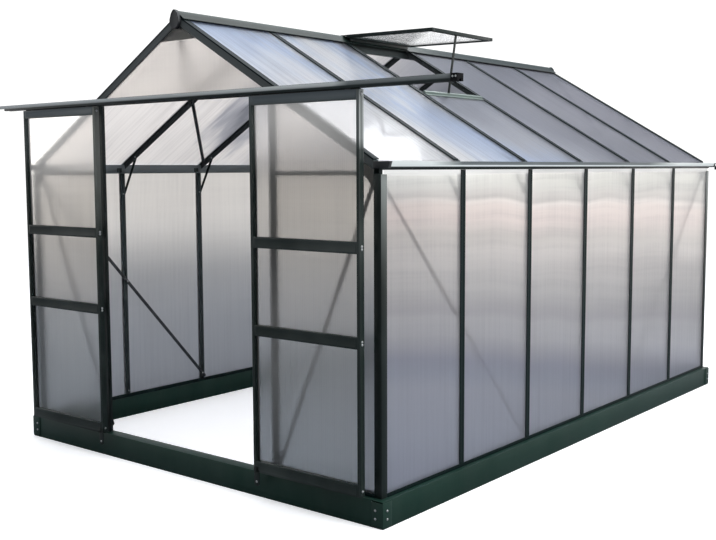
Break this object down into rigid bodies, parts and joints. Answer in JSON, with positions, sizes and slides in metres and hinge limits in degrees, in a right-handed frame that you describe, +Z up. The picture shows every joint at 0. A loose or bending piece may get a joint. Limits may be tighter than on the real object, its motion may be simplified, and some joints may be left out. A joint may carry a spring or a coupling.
{
  "type": "greenhouse",
  "caption": "Walk-in apex-roof greenhouse of translucent panels in a green metal frame, with a folded base rail, gutters, a roof vent propped open and sliding door leaves hung from a top rail.",
  "frame": {"origin": "on the ground, in the middle of the doorway, at the outer face of the front gable's bars", "axes": "+X to the right facing the front gable, +Y from the front gable to the rear one, +Z up"},
  "size_m": [3.084, 3.917, 2.288],
  "materials": {
    "frame_green": "satin powder coat",
    "plate_green": "satin powder coat",
    "brace_steel": "dull zinc",
    "black_plastic": "fine moulded grain",
    "hanger_plastic": "smooth moulded",
    "polycarbonate": "translucent twin-wall, glossy skin"
  },
  "bodies": {
    "house": {"base_front": "frame_green", "base_rear": "frame_green", "base_left": "frame_green", "base_right": "frame_green", "base_corners": "frame_green", "glazing_sills": "frame_green", "corner_posts": "frame_green", "left_wall_bars": "frame_green", "right_wall_bars": "frame_green", "door_jambs": "frame_green", "door_head": "frame_green", "gable_cross_bars": "frame_green", "rear_mullions": "frame_green", "left_gutter": "frame_green", "right_gutter": "frame_green", "gutter_ends": "black_plastic", "ridge_beam": "frame_green", "ridge_caps": "black_plastic", "gable_rafters": "frame_green", "left_rafters": "frame_green", "right_rafters": "frame_green", "knee_braces": "plate_green", "wall_braces": "brace_steel", "roof_braces": "brace_steel", "gusset_plates": "plate_green", "door_rail": "frame_green", "rail_fittings": "black_plastic", "left_wall_panels": "polycarbonate", "right_wall_panels": "polycarbonate", "front_gable_panels": "polycarbonate", "rear_gable_panels": "polycarbonate", "left_roof_panels": "polycarbonate", "right_roof_panels": "polycarbonate", "vent_frame": "frame_green", "vent_panel": "polycarbonate", "vent_stay": "frame_green", "vent_sill": "frame_green"},
    "left_door": {"left_door_stiles": "frame_green", "left_door_rails": "frame_green", "left_door_panels": "polycarbonate", "left_door_rollers": "hanger_plastic"},
    "right_door": {"right_door_stiles": "frame_green", "right_door_rails": "frame_green", "right_door_panels": "polycarbonate", "right_door_rollers": "hanger_plastic"}
  },
  "joints": [
    {"name": "right_door_slide", "type": "slide", "parent": "house", "child": "right_door", "axis": [1, 0, 0], "range_m": [-0.557, 0.505]},
    {"name": "left_door_slide", "type": "slide", "parent": "house", "child": "left_door", "axis": [-1, 0, 0], "range_m": [-0.55, 0.2]}
  ]
}
